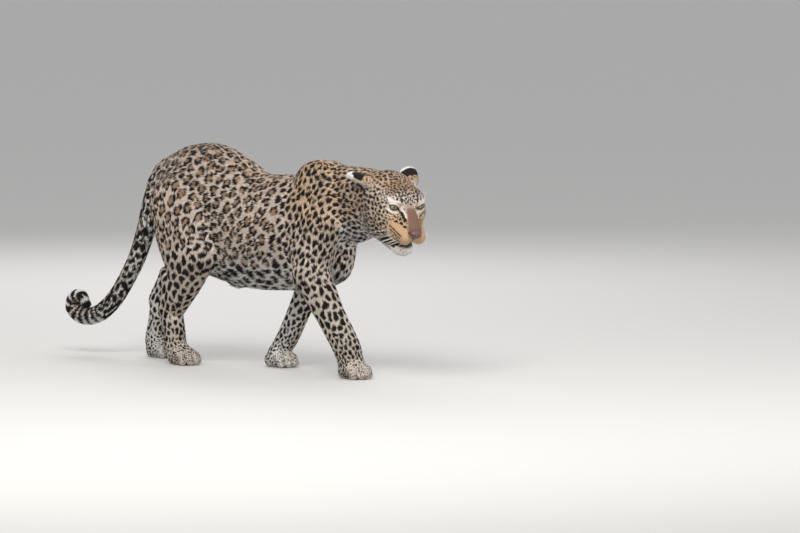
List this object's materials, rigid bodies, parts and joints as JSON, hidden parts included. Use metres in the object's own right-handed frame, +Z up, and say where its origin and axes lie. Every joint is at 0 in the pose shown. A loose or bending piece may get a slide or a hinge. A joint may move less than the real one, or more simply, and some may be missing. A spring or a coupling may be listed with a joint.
{
  "type": "leopard",
  "caption": "Still, life-size model of a walking adult leopard with lowered, turned head, ears laid out and a tail that curls up at its tip; stands on the flat soles of its paws.",
  "frame": {"origin": "floor level under the middle of the animal's box", "axes": "+X along the trunk towards the head, +Y to the animal's left, +Z up"},
  "size_m": [1.3938, 0.2822, 0.6299],
  "materials": {
    "coat_tan": "short golden tan fur with black spots",
    "coat_cream": "short cream fur with dark rosettes",
    "coat_limb": "short pale fur with black spots",
    "coat_tail": "fur with dark bands, white underneath",
    "nose_leather": "bare moist skin",
    "eyelid_skin": "bare black skin",
    "iris": "wet eye, pale grey-green iris"
  },
  "bodies": {
    "root": {"chest": "coat_cream", "loin": "coat_cream", "neck": "coat_tan", "head": "coat_tan", "ear_right": "coat_tan", "ear_left": "coat_tan", "nose": "nose_leather", "eye_right": "iris", "eye_left": "iris", "eyelids_right": "eyelid_skin", "eyelids_left": "eyelid_skin", "tail_root": "coat_tail", "tail_middle": "coat_tail", "tail_tip": "coat_tail", "fore_right_upper": "coat_limb", "fore_right_lower": "coat_limb", "fore_right_paw": "coat_limb", "fore_left_upper": "coat_limb", "fore_left_lower": "coat_limb", "fore_left_paw": "coat_limb", "hind_right_upper": "coat_limb", "hind_right_lower": "coat_limb", "hind_right_paw": "coat_limb", "hind_left_upper": "coat_limb", "hind_left_lower": "coat_limb", "hind_left_paw": "coat_limb"}
  },
  "joints": []
}
